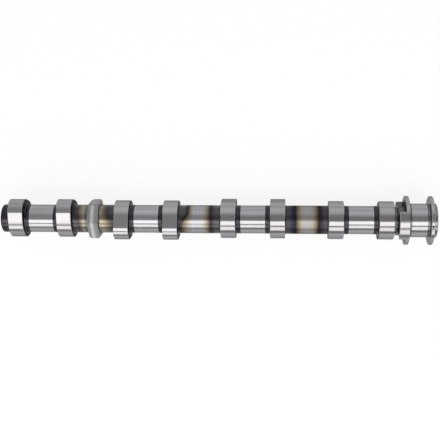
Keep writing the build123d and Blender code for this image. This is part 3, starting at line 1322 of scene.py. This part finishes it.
@dataclass(frozen=True)
class Studio:
    """The floor, the two long light panels, the sky and the camera.

    Attributes:
        floor_size: The floor's side, in metres.
        floor_colour: The floor's own colour.
        floor_roughness: How matt it is.
        floor_white: How far the floor shows as plain white to the camera and in reflections. The rest
            of it keeps the light and the shadow that fall on it.
        panels: For each panel, the angles off the zenith, towards -Y, of its two long edges.
        panel_turn: How far the panels are turned out of line with the shaft.
        panel_levels: How bright each panel is, where 1 is white.
        panel_colour: The colour of the panels' light.
        panel_length: How long the panels are, in metres.
        panel_distance: How far their middles are from the shaft's axis.
        zenith: The sky's level straight up and on the panels' side.
        back_glow: How much brighter it is on the side away from the panels.
        back_rise: Where on that side the glow starts and is full, as the share of +Y in the heading.
        left_glow: How much brighter it is towards -X.
        left_rise: Where that starts and is full, as the share of X in the heading.
        left_back: The share of the back's glow that is left on that side.
        left_fall: Where the back's glow is down to that share, and where it is whole.
        low_share: The share of the back's glow that is left at the horizon.
        low_end: Where it is whole, as the share of Z in the heading.
        end_glow: How much brighter the sky is beyond the shaft's two ends.
        end_rise: Where that starts and is full, as the share of X in the heading.
        camera_place: Where the camera is, in metres.
        camera_yaw: Its turn about Y from looking straight down, in degrees.
        camera_roll: Its turn about Z.
        lens: The focal length, in millimetres.
        sensor: The sensor's width.
        near_clip: The nearest distance that it shows, in metres.
    """

    floor_size: float = 40.0
    floor_colour: Colour = (0.95, 0.95, 0.95)
    floor_roughness: float = 0.9
    floor_white: float = 0.84
    panels: tuple[tuple[float, float], ...] = ((11.4, 37.0), (46.2, 69.6))
    panel_turn: float = 5.0
    panel_levels: tuple[float, ...] = (2.42, 2.06)
    panel_colour: Colour = (1.0, 0.97, 0.94)
    panel_length: float = 1.8
    panel_distance: float = 1.0
    zenith: float = 0.42
    back_glow: float = 0.62
    back_rise: tuple[float, float] = (0.3, 0.85)
    left_glow: float = 0.13
    left_rise: tuple[float, float] = (-0.04, -0.18)
    left_back: float = 0.4
    left_fall: tuple[float, float] = (-0.34, -0.12)
    low_share: float = 0.55
    low_end: float = 0.42
    end_glow: float = 0.3
    end_rise: tuple[float, float] = (0.5, 0.95)
    camera_place: tuple[float, float, float] = (-0.129, -0.0003, 0.801)
    camera_yaw: float = 4.38
    camera_roll: float = 0.336
    lens: float = 73.38
    sensor: float = 36.0
    near_clip: float = 0.01

    def lay_floor(self) -> None:
        """Lays the floor under the shaft, touching the front collar.

        Its height is a straight line in x. It falls from minus the collar's radius there by the
        difference between the radii of the collar and the first lobe on the way to the rear face.
        """
        end = DriveEnd()
        front_place = -end.nose_length - end.front_collar_width
        rear_place = CAD_BOX[0][0] / METRES
        slope = (CamLobe().base_radius - end.collar_radius) / (front_place - rear_place)
        half = self.floor_size / 2.0
        ends = np.array([-half, half])
        across = np.array([[-half, -half], [half, half]])
        along = np.stack([ends, ends], axis=1).T
        height = (-end.collar_radius + slope * (front_place - along / METRES)) * METRES
        corners = np.stack([along, across, height], axis=-1).reshape(-1, 3)
        mesh = bpy.data.meshes.new("floor")
        mesh.from_pydata(corners.tolist(), [], [(0, 1, 3, 2)])
        floor = bpy.data.objects.new("floor", mesh)
        bpy.context.scene.collection.objects.link(floor)
        material = bpy.data.materials.new("pale_floor")
        material.use_nodes = True
        graph = Graph(material.node_tree)
        paper = graph.add(
            "ShaderNodeBsdfPrincipled",
            {},
            {
                "Base Color": solid(self.floor_colour),
                "Roughness": self.floor_roughness,
                "Specular IOR Level": 0.0,
            },
        )
        white = graph.add("ShaderNodeEmission", {}, {"Strength": 1.0})
        seen = [graph.add("ShaderNodeLightPath", output=f"Is {kind} Ray") for kind in SEEN_BY]
        share = seen[0].largest(seen[1]).largest(seen[2]) * self.floor_white
        shown = graph.add("ShaderNodeMixShader", {}, {0: share, 1: paper, 2: white})
        graph.add("ShaderNodeOutputMaterial", {}, {"Surface": shown})
        mesh.materials.append(material)

    def hang_panels(self) -> None:
        """Hangs the long soft panels beside the camera, facing the shaft."""
        middle = (CAD_BOX[0][0] + CAD_BOX[1][0]) / 2.0
        for number, ((near, far), level) in enumerate(zip(self.panels, self.panel_levels), 1):
            angle = (near + far) / 2.0
            width = 2.0 * self.panel_distance * math.tan(math.radians((far - near) / 2.0))
            lamp = bpy.data.lights.new(f"panel_{number}", "AREA")
            lamp.shape = "RECTANGLE"
            lamp.size = self.panel_length
            lamp.size_y = width
            lamp.energy = level * math.pi * self.panel_length * width
            lamp.color = self.panel_colour
            panel = bpy.data.objects.new(f"panel_{number}", lamp)
            panel.location = around(middle, self.panel_distance, -angle)
            panel.rotation_euler = (math.radians(angle), 0.0, math.radians(self.panel_turn))
            panel.visible_camera = False
            bpy.context.scene.collection.objects.link(panel)

    def paint_sky(self) -> None:
        """Paints the world: grey overhead, and paler towards +Y and beyond the shaft's two ends."""
        world = bpy.data.worlds.new("soft_sky")
        bpy.context.scene.world = world
        world.use_nodes = True
        graph = Graph(world.node_tree)
        heading = graph.add("ShaderNodeTexCoord", output="Generated")
        x, y, z = graph.split(heading)
        low = z.ramp(0.0, self.low_end) * (1.0 - self.low_share) + self.low_share
        back_share = x.ramp(*self.left_fall) * (1.0 - self.left_back) + self.left_back
        back = y.ramp(*self.back_rise) * low * back_share * self.back_glow
        ends = x.size().ramp(*self.end_rise) * self.end_glow
        left = x.ramp(*self.left_rise) * self.left_glow
        level = back + (ends + left) + self.zenith
        background = graph.add(
            "ShaderNodeBackground", {}, {"Color": graph.vector(level, level, level), "Strength": 1.0}
        )
        graph.add("ShaderNodeOutputWorld", {}, {"Surface": background})

    def set_camera(self) -> None:
        """Puts the camera where the photograph was taken from."""
        data = bpy.data.cameras.new("camera")
        data.lens = self.lens
        data.sensor_width = self.sensor
        data.clip_start = self.near_clip
        camera = bpy.data.objects.new("camera", data)
        camera.location = self.camera_place
        camera.rotation_euler = (0.0, math.radians(self.camera_yaw), math.radians(self.camera_roll))
        bpy.context.scene.collection.objects.link(camera)
        bpy.context.scene.camera = camera

    def build(self) -> None:
        """Sets up the whole studio."""
        bpy.context.scene.view_settings.view_transform = "Standard"
        self.set_camera()
        self.lay_floor()
        self.hang_panels()
        self.paint_sky()


def main() -> None:
    """Builds the studio and the shaft."""
    logging.basicConfig(level=logging.INFO, format="%(name)s: %(message)s")
    Studio().build()
    Camshaft().build()


if __name__ == "__main__":
    main()
